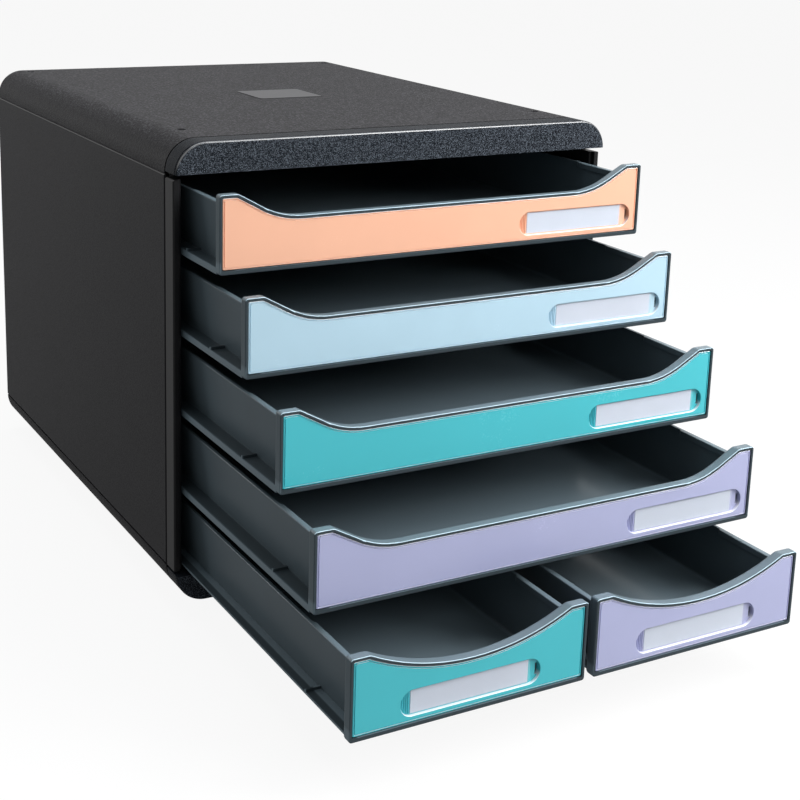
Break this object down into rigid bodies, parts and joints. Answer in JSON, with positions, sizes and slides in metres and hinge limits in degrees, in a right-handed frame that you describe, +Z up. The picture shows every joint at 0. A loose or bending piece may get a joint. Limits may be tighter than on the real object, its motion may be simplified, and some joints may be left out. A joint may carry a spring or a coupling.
{
  "type": "desktop drawer unit",
  "caption": "Desktop drawer unit: black rounded case with sliding slate trays, scooped coloured fronts with label windows, half-width drawers in the bottom row.",
  "frame": {"origin": "centre of the bounding box in plan with the drawers open as pictured (joint values 0), on the surface that the feet stand on", "axes": "+X to the right seen from the front, -Y the way the drawers open, +Z up"},
  "size_m": [0.278, 0.5398, 0.2713],
  "materials": {
    "case_black": "grained black polystyrene",
    "runner_black": "smooth black polystyrene",
    "emblem_gloss": "glossy grey plate, bare",
    "foot_rubber": "black soft rubber",
    "tray_slate": "slate grey satin polystyrene",
    "plate_peach": "glossy peach",
    "plate_light_blue": "glossy light blue",
    "plate_turquoise": "glossy turquoise",
    "plate_lavender": "glossy lavender",
    "label_paper": "white paper card",
    "label_clear": "clear film"
  },
  "bodies": {
    "case": {"top_cover": "case_black", "emblem_plate": "emblem_gloss", "base_cover": "case_black", "top_fascia": "case_black", "base_fascia": "case_black", "left_side_panel": "case_black", "right_side_panel": "case_black", "left_front_post": "case_black", "right_front_post": "case_black", "left_runner_liner": "runner_black", "right_runner_liner": "runner_black", "centre_guide": "runner_black", "rear_panel": "case_black", "rubber_feet": "foot_rubber"},
    "drawer_1": {"drawer_1_tray": "tray_slate", "drawer_1_face_plate": "plate_peach", "drawer_1_label_card": "label_paper", "drawer_1_label_cover": "label_clear"},
    "drawer_2": {"drawer_2_tray": "tray_slate", "drawer_2_face_plate": "plate_light_blue", "drawer_2_label_card": "label_paper", "drawer_2_label_cover": "label_clear"},
    "drawer_3": {"drawer_3_tray": "tray_slate", "drawer_3_face_plate": "plate_turquoise", "drawer_3_label_card": "label_paper", "drawer_3_label_cover": "label_clear"},
    "drawer_4": {"drawer_4_tray": "tray_slate", "drawer_4_face_plate": "plate_lavender", "drawer_4_label_card": "label_paper", "drawer_4_label_cover": "label_clear"},
    "drawer_5": {"drawer_5_tray": "tray_slate", "drawer_5_face_plate": "plate_turquoise", "drawer_5_label_card": "label_paper", "drawer_5_label_cover": "label_clear"},
    "drawer_6": {"drawer_6_tray": "tray_slate", "drawer_6_face_plate": "plate_lavender", "drawer_6_label_card": "label_paper", "drawer_6_label_cover": "label_clear"}
  },
  "joints": [
    {"name": "drawer_1_slide", "type": "slide", "parent": "case", "child": "drawer_1", "axis": [0, -1, 0], "range_m": [-0.044, 0.2056]},
    {"name": "drawer_2_slide", "type": "slide", "parent": "case", "child": "drawer_2", "axis": [0, -1, 0], "range_m": [-0.0764, 0.1732]},
    {"name": "drawer_3_slide", "type": "slide", "parent": "case", "child": "drawer_3", "axis": [0, -1, 0], "range_m": [-0.1175, 0.1321]},
    {"name": "drawer_4_slide", "type": "slide", "parent": "case", "child": "drawer_4", "axis": [0, -1, 0], "range_m": [-0.155, 0.0946]},
    {"name": "drawer_5_slide", "type": "slide", "parent": "case", "child": "drawer_5", "axis": [0, -1, 0], "range_m": [-0.1929, 0.0567]},
    {"name": "drawer_6_slide", "type": "slide", "parent": "case", "child": "drawer_6", "axis": [0, -1, 0], "range_m": [-0.1929, 0.0567]}
  ]
}
